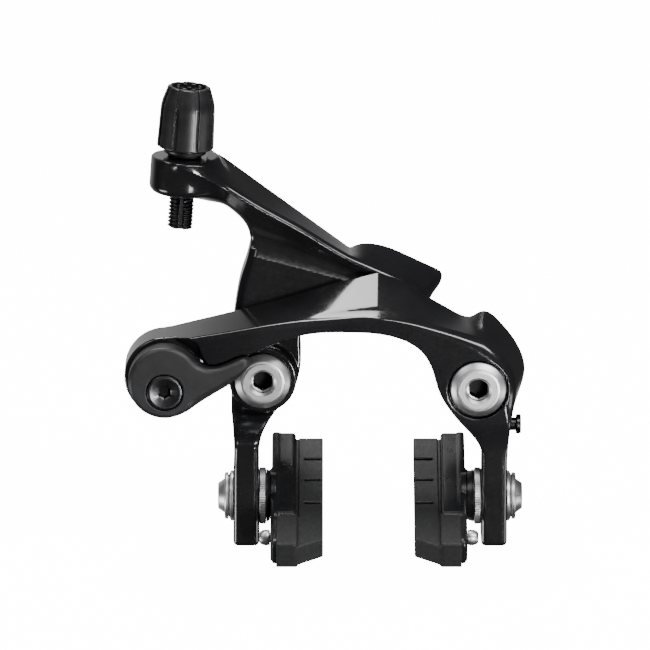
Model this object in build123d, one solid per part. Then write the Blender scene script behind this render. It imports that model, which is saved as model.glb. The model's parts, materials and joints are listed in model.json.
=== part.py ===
"""Direct-mount rim brake caliper, in millimetres.

Frame: origin midway between the two frame bolts on the mounting face, +X to the anchor's far side,
+Y into the bicycle frame, +Z up. The front of the caliper faces -Y.
"""
import math
import os

from build123d import *

# pivots and frame bolts
PIVOT_X = 28.0                      # half of the 56 mm direct-mount bolt spacing
BOLT_R = 3.0                        # M6 thread, which stands out behind the mounting face
BOLT_END_Y = 12.0
SHANK_R = 2.7                       # plain shank inside the bush
BUSH_R = 5.2
BUSH_BORE_R = 3.1
BUSH_FLANGE_R = 7.3
BUSH_FLANGE = 1.2
HEAD_R = 7.3
HEAD_FACE_R = 5.3
HEAD_T = 2.5
WASHER_T = 0.5
RUN_GAP = 0.05                      # radial clearance of a running fit
END_GAP = 0.1                       # clearance between faces that turn past each other
HEX_5 = 5.0                         # hexagon keys across flats
HEX_4 = 4.0
HEX_3 = 3.0
HEX_2 = 2.0

# depths of the arms
RIGHT_FRONT_Y = -29.0
RIGHT_BACK_Y = -14.0
COUNTERBORE_R = 7.9
COUNTERBORE_Y = -27.0
LEFT_WEB_Y = -12.5
LEFT_BOSS_Y = -19.0
LEFT_BOSS_R = 8.8
LEFT_RING_R = 8.2
RIGHT_BOSS_R = 10.0
ARM_BACK_Y = -1.5
SPRING_POCKET_R = 7.0
SPRING_POCKET_Y = -9.5

# brake arms where the shoes are clamped
LEG_IN = 29.0                       # distance of the leg's inner face from the middle
LEG_OUT = 35.6
LEG_BOTTOM_Z = -43.0
LEG_FRONT_Y = -27.0
LEG_BACK_Y = -13.0
SHOE_Y = -20.0
SHOE_Z = -31.0
SHOE_TRAVEL = 3.0
SHOE_BOLT_R = 3.0
SLOT_R = 3.15
SHOE_TILT = 17.0                    # degrees, nose down

# link between the arms: a roller on the right arm in a slot of the left arm
LINK_Z = 20.0
LINK_PIN_R = 2.0
LINK_ROLLER_R = 3.2
LINK_SLOT_R = 3.35
LINK_TURN = 20.0                    # degrees of slot about the origin: an arm's travel twice, and room

# quick release
CAM_X, CAM_Z = -53.3, 2.5
CAM_R = 6.5
ANCHOR_Z = 0.0                      # the anchor is off centre in the disc, so turning it slackens the cable
ANCHOR_R = 2.5
ANCHOR_HEAD_R = 4.55
LEVER_DISC_R = 9.5
LEVER_FRONT_Y = -32.0
LEVER_BACK_Y = -26.0
RECESS_Y = -25.6
RECESS_GAP = 0.45
ARM_END_R = 10.6
CLAMP_FRONT_Y = RIGHT_BACK_Y + 0.6
CLAMP_T = 1.8
NUT_FLATS = 8.0
NUT_T = 3.6

# barrel adjuster, in a local frame at the top of its boss
ADJ_X, ADJ_Y, ADJ_Z = -48.2, -12.0, 58.3
ADJ_LEAN = 4.0                      # degrees towards +X
ADJ_BOSS_R = 8.7
ADJ_BOSS_H = 9.6
THREAD_R = 3.3
THREAD_END = -19.0
CABLE_R = 1.1
KNOB_R = 7.3
KNOB_CONE_R = 5.7
KNOB_LOW, KNOB_CONE, KNOB_HIGH = 2.6, 14.3, 18.7
KNOB_THREAD = 5.0                   # how far the bolt reaches into the knob
SOCKET_R = 2.6
SOCKET_DEPTH = 9.0

# centring screw in the side of the right arm
CENTRING_Y, CENTRING_Z = -21.0, -11.3
CENTRING_R = 1.7
CENTRING_FLANGE_R = 2.6

# shoe, in a local frame on the shoe bolt's axis, before the tilt; x runs from the leg towards the rim
HOLDER_H = 7.6
HOLDER_FRONT, HOLDER_REAR = -28.0, 25.0
LIP_FRONT = -15.3
PAD_FRONT, PAD_REAR = -28.7, 24.0
PAD_TOP, PAD_BOTTOM = 2.6, -3.2
GROOVES = (13.6, 3.6, -7.4)
GROOVE_W, GROOVE_DEPTH = 1.1, 5.0
PLATE_T = 1.5
SHOULDER_R = 5.6
LIP_DEPTH = 6.1
TONGUE_DEPTH = 6.5
PAD_DEPTH = 13.2
PAD_SCREW_Y, PAD_SCREW_R = -20.0, 1.25


def disc_y(x, z, radius, y0, y1):
    """Cylinder along Y from y0 to y1."""
    return Pos(x, (y0 + y1) / 2, z) * Rot(90, 0, 0) * Cylinder(radius, abs(y1 - y0))


def disc_x(y, z, radius, x0, x1):
    """Cylinder along X from x0 to x1."""
    return Pos((x0 + x1) / 2, y, z) * Rot(0, 90, 0) * Cylinder(radius, abs(x1 - x0))


def disc_z(radius, z0, z1):
    """Cylinder along the local Z axis."""
    return Pos(0, 0, (z0 + z1) / 2) * Cylinder(radius, z1 - z0)


def cone_y(x, z, r_front, r_back, y_front, y_back):
    """Frustum along Y whose front, at the lower y, has radius r_front."""
    height = y_back - y_front
    return Pos(x, (y_front + y_back) / 2, z) * Rot(90, 0, 0) * Cone(r_back, r_front, height)


def hex_y(x, z, flats, y0, y1):
    """Hexagonal prism along Y."""
    plane = Plane(origin=(x, y0, z), x_dir=(1, 0, 0), z_dir=(0, 1, 0))
    return extrude(plane * RegularPolygon(flats / 2, 6, major_radius=False), y1 - y0)


def hex_x(y, z, flats, x0, x1):
    """Hexagonal prism along X."""
    plane = Plane(origin=(x0, y, z), x_dir=(0, 1, 0), z_dir=(1, 0, 0))
    return extrude(plane * RegularPolygon(flats / 2, 6, major_radius=False), x1 - x0)


def block(x0, x1, y0, y1, z0, z1):
    """Box between two corners."""
    return Pos((x0 + x1) / 2, (y0 + y1) / 2, (z0 + z1) / 2) * Box(x1 - x0, y1 - y0, z1 - z0)


def outline(y, stretches):
    """Closed face in the XZ plane at depth y. Each stretch is a list of points: two make a straight edge,
    more make a smooth curve."""
    edges = []
    for stretch in stretches:
        points = [(x, y, z) for x, z in stretch]
        edges.append(Line(*points) if len(points) == 2 else Spline(*points))
    return make_face(Wire(edges))


def prism_y(stretches, y0, y1):
    """An outline extruded from y0 to y1."""
    return extrude(outline(y0, stretches), abs(y1 - y0), dir=(0, math.copysign(1, y1 - y0), 0))


def prism_z(points, z0, z1):
    """A polygon of (x, y) points extruded along Z."""
    face = make_face(Polyline(*[(x, y, z0) for x, y in points], close=True))
    return extrude(face, z1 - z0, dir=(0, 0, 1))


def prism_x(points, x0, x1):
    """A polygon of (y, z) points extruded along X."""
    face = make_face(Polyline(*[(x0, y, z) for y, z in points], close=True))
    return extrude(face, x1 - x0, dir=(1, 0, 0))


# ---------------------------------------------------------------- arms

LEFT_UNDER = [(-45.5, 47.8), (-40.3, 46.7), (-35.1, 43.2), (-31.8, 38.6), (-31.1, 34.6)]
LEFT_TOP_END = (-5.3, 34.3)
LEFT_SHOULDER = [(-42.4, 57.4), (-39.8, 58.7), (-37.0, 57.5)]


def left_web():
    """Flat web of the left arm, with the stub that holds the link slot."""
    return prism_y([
        [(-45.5, 47.8), (-45.5, 56.5)],
        [(-45.5, 56.5), LEFT_SHOULDER[0]],
        LEFT_SHOULDER,
        [LEFT_SHOULDER[-1], LEFT_TOP_END],
        [LEFT_TOP_END, (-1.0, 34.9), (3.0, 35.0), (10.3, 32.2), (18.1, 28.4)],
        [(18.1, 28.4), (19.2, 26.9), (17.3, 23.0), (13.5, 17.5)],
        [(13.5, 17.5), (11.0, 14.6), (7.5, 13.5)],
        [(7.5, 13.5), (-15.0, 13.5)],
        [(-15.0, 13.5), (-17.6, 11.5), (-18.0, 5.0), (-18.8, 0.0), (-22.2, -6.0)],
        [(-22.2, -6.0), (-28.0, -12.8)],
        [(-28.0, -12.8), (-36.2, -12.8)],
        [(-36.2, -12.8), (-36.2, 5.0)],
        [(-36.2, 5.0), (-35.6, 15.0), (-33.6, 25.7), (-31.1, 34.6)],
        LEFT_UNDER[::-1],
    ], LEFT_WEB_Y, ARM_BACK_Y)


def left_diagonal():
    """Thick upper edge of the left arm, which thins towards the link."""
    band = prism_y([
        LEFT_UNDER,
        [LEFT_UNDER[-1], (-22.0, 33.0), (-6.0, 29.5)],
        [(-6.0, 29.5), LEFT_TOP_END],
        [LEFT_TOP_END, LEFT_SHOULDER[-1]],
        LEFT_SHOULDER[::-1],
        [LEFT_SHOULDER[0], (-45.5, 56.5)],
        [(-45.5, 56.5), LEFT_UNDER[0]],
    ], -19.0, LEFT_WEB_Y + 1.0)
    thin = LEFT_WEB_Y - 0.1
    depth = prism_z([(-50.0, -19.0), (-42.0, -19.0), (0.0, thin), (0.0, -10.0), (-50.0, -10.0)], 20, 70)
    return band & depth


def left_leg():
    """Lower part of the left arm, which comes forward to the shoe."""
    root_y = LEG_BACK_Y + 4.0           # back of the leg where it leaves the web
    side = prism_y([
        [(-36.2, 0.0), (-36.2, -8.0)],
        [(-36.2, -8.0), (-35.4, -15.0), (-LEG_OUT, -22.0)],
        [(-LEG_OUT, -22.0), (-LEG_OUT, LEG_BOTTOM_Z)],
        [(-LEG_OUT, LEG_BOTTOM_Z), (-LEG_IN, LEG_BOTTOM_Z)],
        [(-LEG_IN, LEG_BOTTOM_Z), (-LEG_IN, -15.5)],
        [(-LEG_IN, -15.5), (-28.0, -12.8)],
        [(-28.0, -12.8), (-22.2, -6.0)],
        [(-22.2, -6.0), (-36.2, 0.0)],
    ], LEG_FRONT_Y, root_y)
    depth = prism_x([
        (LEG_FRONT_Y, LEG_BOTTOM_Z),
        (LEG_FRONT_Y, -16.5),
        (LEFT_BOSS_Y, -9.5),
        (LEFT_BOSS_Y, 2.0),
        (root_y, 2.0),
        (root_y, -14.0),
        (LEG_BACK_Y, -18.0),
        (LEG_BACK_Y, LEG_BOTTOM_Z),
    ], -40, -15)
    return side & depth


def link_slot():
    """Curved slot about the origin that the link roller runs in."""
    front, back = LEFT_WEB_Y - 1, ARM_BACK_Y + 1
    ring = disc_y(0, 0, LINK_Z + LINK_SLOT_R, front, back) - disc_y(0, 0, LINK_Z - LINK_SLOT_R, front, back)
    turn = math.radians(LINK_TURN)
    reach = 60.0
    sector = prism_y([
        [(0, 0), (0, reach)],
        [(0, reach), (reach * math.sin(turn), reach * math.cos(turn))],
        [(reach * math.sin(turn), reach * math.cos(turn)), (0, 0)],
    ], front, back)
    start = disc_y(0, LINK_Z, LINK_SLOT_R, front, back)
    end = disc_y(LINK_Z * math.sin(turn), LINK_Z * math.cos(turn), LINK_SLOT_R, front, back)
    return (ring & sector) + start + end


def shoe_slot(x0, x1):
    """Upright slot through a leg for the shoe bolt."""
    low, high = SHOE_Z - SHOE_TRAVEL, SHOE_Z + SHOE_TRAVEL
    middle = block(x0, x1, SHOE_Y - SLOT_R, SHOE_Y + SLOT_R, low, high)
    return middle + disc_x(SHOE_Y, low, SLOT_R, x0, x1) + disc_x(SHOE_Y, high, SLOT_R, x0, x1)


def pivot_bore(x, front):
    """Running bore on the pivot bush and the pocket of the return spring behind it."""
    bore = disc_y(x, 0, BUSH_R + RUN_GAP, front - 1, ARM_BACK_Y + 1)
    return bore + disc_y(x, 0, SPRING_POCKET_R, SPRING_POCKET_Y, ARM_BACK_Y + 1)


def adjuster_place(shape):
    """Moves a shape from the adjuster's local frame into the caliper's frame."""
    return Pos(ADJ_X, ADJ_Y, ADJ_Z) * Rot(0, ADJ_LEAN, 0) * shape


def left_arm():
    boss = disc_y(-PIVOT_X, 0, LEFT_BOSS_R, LEFT_BOSS_Y, LEFT_WEB_Y + 1)
    ring = disc_y(-PIVOT_X, 0, LEFT_RING_R, LEFT_WEB_Y, ARM_BACK_Y)
    adjuster_boss = adjuster_place(disc_z(ADJ_BOSS_R, -ADJ_BOSS_H, 0))
    body = left_web() + left_diagonal() + left_leg() + boss + ring + adjuster_boss
    body -= pivot_bore(-PIVOT_X, LEFT_BOSS_Y)
    body -= adjuster_place(disc_z(THREAD_R + RUN_GAP, -20, 5))
    body -= shoe_slot(-LEG_OUT - 1, -LEG_IN + 1)
    body -= link_slot()
    return body


UNDERSIDE = [(LEG_IN, -16.5), (23.3, -9.3), (18.9, -2.7), (16.8, 2.7), (12.9, 10.2), (3.8, 14.5),
             (-5.3, 15.3), (-17.7, 14.5), (-28.1, 10.8), (-35.1, 7.5), (-40.3, 4.0)]


def right_section(y, top_left, top_right, shoulder):
    """Section of the right arm at depth y. The underside is the same at every depth."""
    return outline(y, [
        top_left,
        top_right,
        shoulder,
        [(36.4, -11.3), (LEG_OUT, -20.0)],
        [(LEG_OUT, -20.0), (LEG_OUT, LEG_BOTTOM_Z)],
        [(LEG_OUT, LEG_BOTTOM_Z), (LEG_IN, LEG_BOTTOM_Z)],
        [(LEG_IN, LEG_BOTTOM_Z), UNDERSIDE[0]],
        UNDERSIDE,
        [UNDERSIDE[-1], (-45.0, -1.5), (-49.0, -6.0)],
        [(-49.0, -6.0), top_left[0]],
    ])


def lever_blade(grow):
    """Outline of the lever's blade, grown by a gap. It starts inside the lever's disc."""
    return prism_y([
        [(-50.0, 11.4 + grow), (-46.8 + grow, 9.4 + grow), (-45.0 + grow, 7.4 + grow), (-42.6, 6.3 + grow)],
        [(-42.6, 6.3 + grow), (-40.3, 6.3 + grow), (-36.4, 7.5 + grow), (-32.6, 8.9 + grow)],
        [(-32.6, 8.9 + grow), (-31.3 + grow, 7.9 + grow), (-31.8 + grow, 6.2)],
        [(-31.8 + grow, 6.2), (-37.0, 1.3 - grow), (-44.2, -3.2 - grow)],
        [(-44.2, -3.2 - grow), (-49.6, -6.2 - grow)],
        [(-49.6, -6.2 - grow), (-50.0, 11.4 + grow)],
    ], LEVER_FRONT_Y - grow, RECESS_Y if grow else LEVER_BACK_Y)


def right_arm():
    front = right_section(
        RIGHT_FRONT_Y,
        [(-53.3, 12.9), (-40.3, 14.5), (-23.5, 17.3), (-5.3, 18.8), (2.0, 19.1)],
        [(2.0, 19.1), (7.7, 18.4), (18.1, 16.1), (25.9, 13.6)],
        [(25.9, 13.6), (31.1, 10.8), (35.8, 5.4), (37.4, -1.4), (36.4, -11.3)],
    )
    back = right_section(
        RIGHT_BACK_Y,
        [(-53.3, 13.1), (-44.2, 15.4), (-28.1, 19.5), (-7.9, 25.6), (2.0, 28.1)],
        [(2.0, 28.1), (7.7, 26.1), (15.5, 21.3), (25.9, 16.2)],
        [(25.9, 16.2), (29.8, 17.8), (36.3, 12.1), (40.5, 1.9), (36.4, -11.3)],
    )
    body = loft([front, back], ruled=True)
    body += disc_y(PIVOT_X, 0, RIGHT_BOSS_R, RIGHT_BACK_Y - 1, ARM_BACK_Y)
    recess = lever_blade(RECESS_GAP) + disc_y(CAM_X, CAM_Z, LEVER_DISC_R + RECESS_GAP, -33, RECESS_Y)
    recess += block(-66, -50.2, -33, RECESS_Y, -12, 20)
    body -= recess
    body += disc_y(CAM_X, CAM_Z, ARM_END_R, RECESS_Y, RIGHT_BACK_Y)
    body -= disc_y(CAM_X, CAM_Z, CAM_R + RUN_GAP, -33, RIGHT_BACK_Y + 1)
    body -= pivot_bore(PIVOT_X, RIGHT_FRONT_Y)
    body -= disc_y(PIVOT_X, 0, COUNTERBORE_R, RIGHT_FRONT_Y - 1, COUNTERBORE_Y)
    body -= shoe_slot(LEG_IN - 2, LEG_OUT + 1)
    body -= disc_y(0, LINK_Z, LINK_PIN_R, -21, RIGHT_BACK_Y + 1)
    body -= disc_x(CENTRING_Y, CENTRING_Z, CENTRING_R + RUN_GAP, 30.5, 45)
    return body


# ---------------------------------------------------------------- pivots

def mount_bolt(x, head_back):
    """M6 frame bolt with a coned head and a deep hexagon socket."""
    front = head_back - HEAD_T
    head = cone_y(x, 0, HEAD_FACE_R, HEAD_R, front, front + 1.2)
    head += disc_y(x, 0, HEAD_R, front + 1.2, head_back)
    shank = disc_y(x, 0, SHANK_R, head_back, 0) + disc_y(x, 0, BOLT_R, 0, BOLT_END_Y)
    return head + shank - hex_y(x, 0, HEX_5, front - 1, front + 6.0)


def pivot_bush(x, front):
    """Fixed bush that the arm turns on. Its flange seats on the bicycle frame."""
    sleeve = disc_y(x, 0, BUSH_R, front, 0) + disc_y(x, 0, BUSH_FLANGE_R, -BUSH_FLANGE, 0)
    return sleeve - disc_y(x, 0, BUSH_BORE_R, front - 1, 1)


def thrust_washer(x, back):
    """Thin plastic washer between a bolt head and an arm."""
    ring = disc_y(x, 0, HEAD_R - 0.3, back - WASHER_T, back)
    return ring - disc_y(x, 0, BUSH_R + RUN_GAP, back - 2, back + 1)


def return_spring(x):
    """Torsion spring round the bush, in the pocket behind the arm."""
    wire_r, mean_r, pitch, turns = 0.55, 6.1, 1.35, 4.75
    start_y = SPRING_POCKET_Y + 0.8
    plane = Plane(origin=(x, start_y, 0), x_dir=(1, 0, 0), z_dir=(0, 1, 0))
    path = plane * Helix(pitch, pitch * turns, mean_r)
    section = Plane(origin=path @ 0, z_dir=path % 0) * Circle(wire_r)
    return sweep(section, path=path, is_frenet=True)


# ---------------------------------------------------------------- quick release and cable anchor

def qr_lever():
    """Quick-release lever: a disc on the cam bush and a blade to close it with."""
    disc = disc_y(CAM_X, CAM_Z, LEVER_DISC_R, LEVER_FRONT_Y, LEVER_BACK_Y)
    body = disc + lever_blade(0.0)
    body -= disc_y(CAM_X, ANCHOR_Z, ANCHOR_HEAD_R + 0.25, LEVER_FRONT_Y - 1, LEVER_FRONT_Y + 2.6)
    return body - disc_y(CAM_X, ANCHOR_Z, ANCHOR_R + RUN_GAP, -33, -20)


def cam_bush():
    """Bush fixed to the lever. It turns in the arm, and the anchor bolt passes through it off centre."""
    body = disc_y(CAM_X, CAM_Z, CAM_R, LEVER_BACK_Y, RIGHT_BACK_Y + 0.3)
    return body - disc_y(CAM_X, ANCHOR_Z, ANCHOR_R + RUN_GAP, -30, -10)


def anchor_bolt():
    """Cable anchor bolt. Its head sits in the lever and its thread holds the clamp plate behind the arm."""
    head_back = LEVER_FRONT_Y + 2.5
    head = disc_y(CAM_X, ANCHOR_Z, ANCHOR_HEAD_R, LEVER_FRONT_Y - 0.2, head_back)
    shank = disc_y(CAM_X, ANCHOR_Z, ANCHOR_R, head_back, CLAMP_FRONT_Y + CLAMP_T + NUT_T + 0.8)
    return head + shank - hex_y(CAM_X, ANCHOR_Z, HEX_3, LEVER_FRONT_Y - 1, LEVER_FRONT_Y + 2.0)


def cable_clamp_plate():
    """Plate that presses the inner cable, with a groove for it beside the bolt."""
    back = CLAMP_FRONT_Y + CLAMP_T
    body = block(CAM_X - 5.0, CAM_X + 5.2, CLAMP_FRONT_Y, back, ANCHOR_Z - 4.2, ANCHOR_Z + 4.2)
    body -= disc_y(CAM_X, ANCHOR_Z, ANCHOR_R + RUN_GAP, -20, 0)
    groove = Pos(CAM_X + 3.4, CLAMP_FRONT_Y, ANCHOR_Z) * Cylinder(0.7, 20)
    return body - groove


def anchor_nut():
    """Hexagon nut that clamps the plate."""
    front = CLAMP_FRONT_Y + CLAMP_T
    nut = hex_y(CAM_X, ANCHOR_Z, NUT_FLATS, front, front + NUT_T)
    return nut - disc_y(CAM_X, ANCHOR_Z, ANCHOR_R, -20, 0)


# ---------------------------------------------------------------- barrel adjuster

def adjuster_bolt():
    """Hollow threaded bolt that the cable runs through."""
    body = disc_z(THREAD_R, THREAD_END, KNOB_LOW + KNOB_THREAD)
    return adjuster_place(body - disc_z(CABLE_R, -20, 20))


def adjuster_collar():
    """Ring between the knob and the boss. It rises with the bolt and doesn't turn."""
    body = disc_z(5.6, 1.0, KNOB_LOW - 0.1) - disc_z(THREAD_R + 0.1, -1, 10)
    return adjuster_place(body)


def adjuster_o_ring():
    """O-ring that keeps dirt out of the thread."""
    body = Pos(0, 0, 0.55) * Torus(4.1, 0.42)
    return adjuster_place(body)


def adjuster_knob():
    """Knurled knob with a castellated socket for the cable housing."""
    body = disc_z(KNOB_R, KNOB_LOW, KNOB_CONE)
    cone = Cone(KNOB_R, KNOB_CONE_R, KNOB_HIGH - KNOB_CONE)
    body += Pos(0, 0, (KNOB_CONE + KNOB_HIGH) / 2) * cone
    for index in range(8):
        flute = Pos(KNOB_R + 1.15, 0, 11) * Cylinder(1.6, 24)
        body -= Rot(0, 0, 45 * index + 10) * flute
    body -= disc_z(THREAD_R, KNOB_LOW - 1, KNOB_LOW + KNOB_THREAD)
    body -= disc_z(CABLE_R, 0, 20)
    body -= disc_z(SOCKET_R, KNOB_HIGH - SOCKET_DEPTH, 20)
    body -= disc_z(4.3, KNOB_HIGH - 1.6, 20) - disc_z(3.3, 0, 20)
    return adjuster_place(body)


# ---------------------------------------------------------------- centring screw and link

def centring_screw():
    """Small flanged screw in the side of the right arm."""
    y, z = CENTRING_Y, CENTRING_Z
    body = disc_x(y, z, CENTRING_R, 31.0, 38.2) + disc_x(y, z, CENTRING_FLANGE_R, 37.9, 39.3)
    return body - hex_x(y, z, HEX_2, 38.0, 40.0)


def link_pin():
    """Pin fixed in the right arm."""
    return disc_y(0, LINK_Z, LINK_PIN_R, -21.0, ARM_BACK_Y - 0.2)


def link_roller():
    """Roller that turns on the pin in the left arm's slot."""
    body = disc_y(0, LINK_Z, LINK_ROLLER_R, LEFT_WEB_Y, ARM_BACK_Y - 0.5)
    return body - disc_y(0, LINK_Z, LINK_PIN_R + RUN_GAP, -20, 0)


# ---------------------------------------------------------------- shoes

def shoe_parts(extra):
    """Parts of one shoe in a frame on the bolt's axis. x = 0 is the leg's inner face, and +x points
    at the rim. extra is added to the inner domed washer, which sets how far the pad stands in."""
    leg = LEG_OUT - LEG_IN
    parts = {}
    bolt = disc_x(0, 0, SHOE_BOLT_R, -leg - 2.4, 5.9 + extra)
    bolt += Pos(-leg - 3.25, 0, 0) * Rot(0, 90, 0) * Cone(3.4, 4.5, 1.7)
    parts["shoe_bolt"] = bolt - hex_x(0, 0, HEX_4, -leg - 5.0, -leg - 1.2)
    hole = disc_x(0, 0, SHOE_BOLT_R + RUN_GAP, -20, 20)
    parts["outer_cup_washer"] = disc_x(0, 0, 6.15, -leg - 2.4, -leg - 1.3) - hole
    parts["outer_domed_washer"] = disc_x(0, 0, 6.6, -leg - 1.3, -leg - 0.05) - hole
    parts["inner_washer"] = disc_x(0, 0, 7.7, 0.05, 1.95) - hole
    parts["inner_domed_washer"] = disc_x(0, 0, 6.2, 1.95, 2.95 + extra) - hole

    back = 3.05 + extra                 # outer face of the holder's shoulder
    plate = back + 0.5                  # outer face of the holder's back plate
    half = HOLDER_H / 2
    holder = block(plate, plate + PLATE_T, HOLDER_FRONT, HOLDER_REAR, -half, half)
    holder += block(plate, plate + LIP_DEPTH, LIP_FRONT, HOLDER_REAR, PAD_TOP + 0.1, half)
    holder += block(plate, plate + LIP_DEPTH, LIP_FRONT, HOLDER_REAR, -half, PAD_BOTTOM - 0.1)
    holder += disc_x(0, 0, SHOULDER_R, back, plate + PLATE_T)
    holder += block(back + 0.1, plate + 1, -26.0, -14.0, -3.2, 3.2)
    parts["pad_holder"] = holder - hole

    tongue = plate + PLATE_T + 0.1
    face = plate + PAD_DEPTH
    pad = block(tongue, plate + TONGUE_DEPTH, LIP_FRONT - 0.2, PAD_REAR, PAD_BOTTOM, PAD_TOP)
    pad -= disc_x(0, 0, SHOE_BOLT_R + 0.4, tongue - 1, 6.4 + extra)
    pad += block(tongue, face, PAD_FRONT, LIP_FRONT - 0.2, PAD_BOTTOM, PAD_TOP)
    pad += block(plate + TONGUE_DEPTH - 0.1, face, LIP_FRONT - 1, PAD_REAR, PAD_BOTTOM, PAD_TOP)
    side = GROOVE_W / 2
    for y in GROOVES:
        pad -= block(face - GROOVE_DEPTH, face + 1, y - side, y + side, PAD_BOTTOM - 1, PAD_TOP + 1)
    wedge = [(face - 7.0, PAD_FRONT - 1), (face - 7.0, PAD_FRONT), (face + 0.1, PAD_FRONT + 2.6),
             (face + 0.1, PAD_FRONT - 1)]
    pad -= prism_z(wedge, PAD_BOTTOM - 1, PAD_TOP + 1)
    parts["brake_pad"] = pad

    thread = disc_x(PAD_SCREW_Y, 0, PAD_SCREW_R, back - 1.0, tongue - 0.05)
    head = Pos(back - 1.0, PAD_SCREW_Y, 0) * Sphere(2.1) & block(back - 3.3, back - 0.1, -30, -10, -5, 5)
    parts["pad_screw"] = thread + head - hex_x(PAD_SCREW_Y, 0, HEX_2, back - 4, back - 1.4)
    parts["pad_holder"] = parts["pad_holder"] - thread
    dimple = disc_x(PAD_SCREW_Y, 0, PAD_SCREW_R + 0.25, tongue - 1, tongue + 0.1)
    parts["brake_pad"] = parts["brake_pad"] - dimple
    return parts


def left_shoe():
    """Left shoe's parts in the caliper's frame."""
    place = Pos(-LEG_IN, SHOE_Y, SHOE_Z) * Rot(SHOE_TILT, 0, 0)
    return {"left_" + name: place * shape for name, shape in shoe_parts(0.0).items()}


def right_shoe():
    """Right shoe's parts: the left ones mirrored, with a thicker inner domed washer."""
    place = Pos(LEG_IN, SHOE_Y, SHOE_Z) * Rot(SHOE_TILT, 0, 0)
    return {"right_" + name: place * mirror(shape, Plane.YZ) for name, shape in shoe_parts(0.8).items()}


def caliper():
    """Every node of the caliper by name."""
    left_washer = LEFT_BOSS_Y - END_GAP
    right_washer = COUNTERBORE_Y - END_GAP
    nodes = {
        "left_arm": left_arm(),
        "right_arm": right_arm(),
        "left_mount_bolt": mount_bolt(-PIVOT_X, left_washer - WASHER_T),
        "right_mount_bolt": mount_bolt(PIVOT_X, right_washer - WASHER_T),
        "left_pivot_bush": pivot_bush(-PIVOT_X, left_washer - WASHER_T),
        "right_pivot_bush": pivot_bush(PIVOT_X, right_washer - WASHER_T),
        "left_thrust_washer": thrust_washer(-PIVOT_X, left_washer),
        "right_thrust_washer": thrust_washer(PIVOT_X, right_washer),
        "left_return_spring": return_spring(-PIVOT_X),
        "right_return_spring": return_spring(PIVOT_X),
        "qr_lever": qr_lever(),
        "qr_cam_bush": cam_bush(),
        "anchor_bolt": anchor_bolt(),
        "cable_clamp_plate": cable_clamp_plate(),
        "anchor_nut": anchor_nut(),
        "adjuster_bolt": adjuster_bolt(),
        "adjuster_collar": adjuster_collar(),
        "adjuster_o_ring": adjuster_o_ring(),
        "adjuster_knob": adjuster_knob(),
        "centring_screw": centring_screw(),
        "link_pin": link_pin(),
        "link_roller": link_roller(),
    }
    nodes.update(left_shoe())
    nodes.update(right_shoe())
    return nodes


os.makedirs("parts", exist_ok=True)
for node, shape in caliper().items():
    export_step(shape, "parts/" + node + ".step")
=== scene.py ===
"""Looks of a direct-mount rim brake caliper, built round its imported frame.

Shapes are worked out in millimetres and turned into metres when their meshes are made.
The forged and moulded pieces are signed distance functions f(x, y, z), negative inside.
"""
import json
import math

import bpy
import numpy as np
from mathutils import Matrix, Vector

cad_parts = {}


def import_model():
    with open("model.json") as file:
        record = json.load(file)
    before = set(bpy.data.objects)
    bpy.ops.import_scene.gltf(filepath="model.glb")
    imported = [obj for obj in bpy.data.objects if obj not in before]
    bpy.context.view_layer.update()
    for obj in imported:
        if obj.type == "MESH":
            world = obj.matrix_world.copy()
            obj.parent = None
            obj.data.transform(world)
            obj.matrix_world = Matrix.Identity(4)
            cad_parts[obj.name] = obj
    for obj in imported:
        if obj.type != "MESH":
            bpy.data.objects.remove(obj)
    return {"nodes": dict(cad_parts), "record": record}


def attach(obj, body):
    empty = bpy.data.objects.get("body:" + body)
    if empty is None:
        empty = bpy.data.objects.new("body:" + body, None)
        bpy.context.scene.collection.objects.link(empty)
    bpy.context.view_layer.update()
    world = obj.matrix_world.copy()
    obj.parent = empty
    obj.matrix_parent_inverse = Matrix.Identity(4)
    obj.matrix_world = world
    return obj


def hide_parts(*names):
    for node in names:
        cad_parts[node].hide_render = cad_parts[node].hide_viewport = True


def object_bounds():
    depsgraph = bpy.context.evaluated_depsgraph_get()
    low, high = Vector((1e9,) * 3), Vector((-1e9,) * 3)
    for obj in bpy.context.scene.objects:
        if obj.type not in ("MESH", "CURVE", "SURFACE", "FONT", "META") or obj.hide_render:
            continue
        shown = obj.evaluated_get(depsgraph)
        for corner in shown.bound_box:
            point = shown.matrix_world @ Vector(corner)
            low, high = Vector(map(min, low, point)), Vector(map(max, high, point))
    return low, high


MM = 0.001
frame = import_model()
cad_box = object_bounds()

# places that the pieces share with the frame, in millimetres
PIVOT_X = 28.0
CAM_X, CAM_Z = -53.3, 2.5
ANCHOR_Z = 0.0
SHOE_Y, SHOE_Z = -20.0, -31.0
SHOE_TILT = 17.0
LEG_IN = 29.0
ADJUSTER = Vector((-48.2, -12.0, 58.3))
ADJUSTER_LEAN = 4.0
ADJUSTER_BOSS_R, ADJUSTER_BOSS_H = 8.7, 9.6
THREAD_R, THREAD_PITCH, THREAD_END = 3.3, 1.0, -19.0
LINK_Z, LINK_SLOT_R, LINK_SLOT_TURN = 20.0, 3.4, 20.0
PIVOT_BORE_R, SPRING_POCKET_R, SPRING_POCKET_Y = 5.3, 7.0, -9.5
LEG_T = 6.6
SLOT_R, SLOT_REACH = 3.15, 3.0
LEFT_BOLT_Y, RIGHT_BOLT_Y = -22.1, -30.1
CENTRING_Y, CENTRING_Z = -21.0, -11.3


# ---------------------------------------------------------------- outlines

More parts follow.
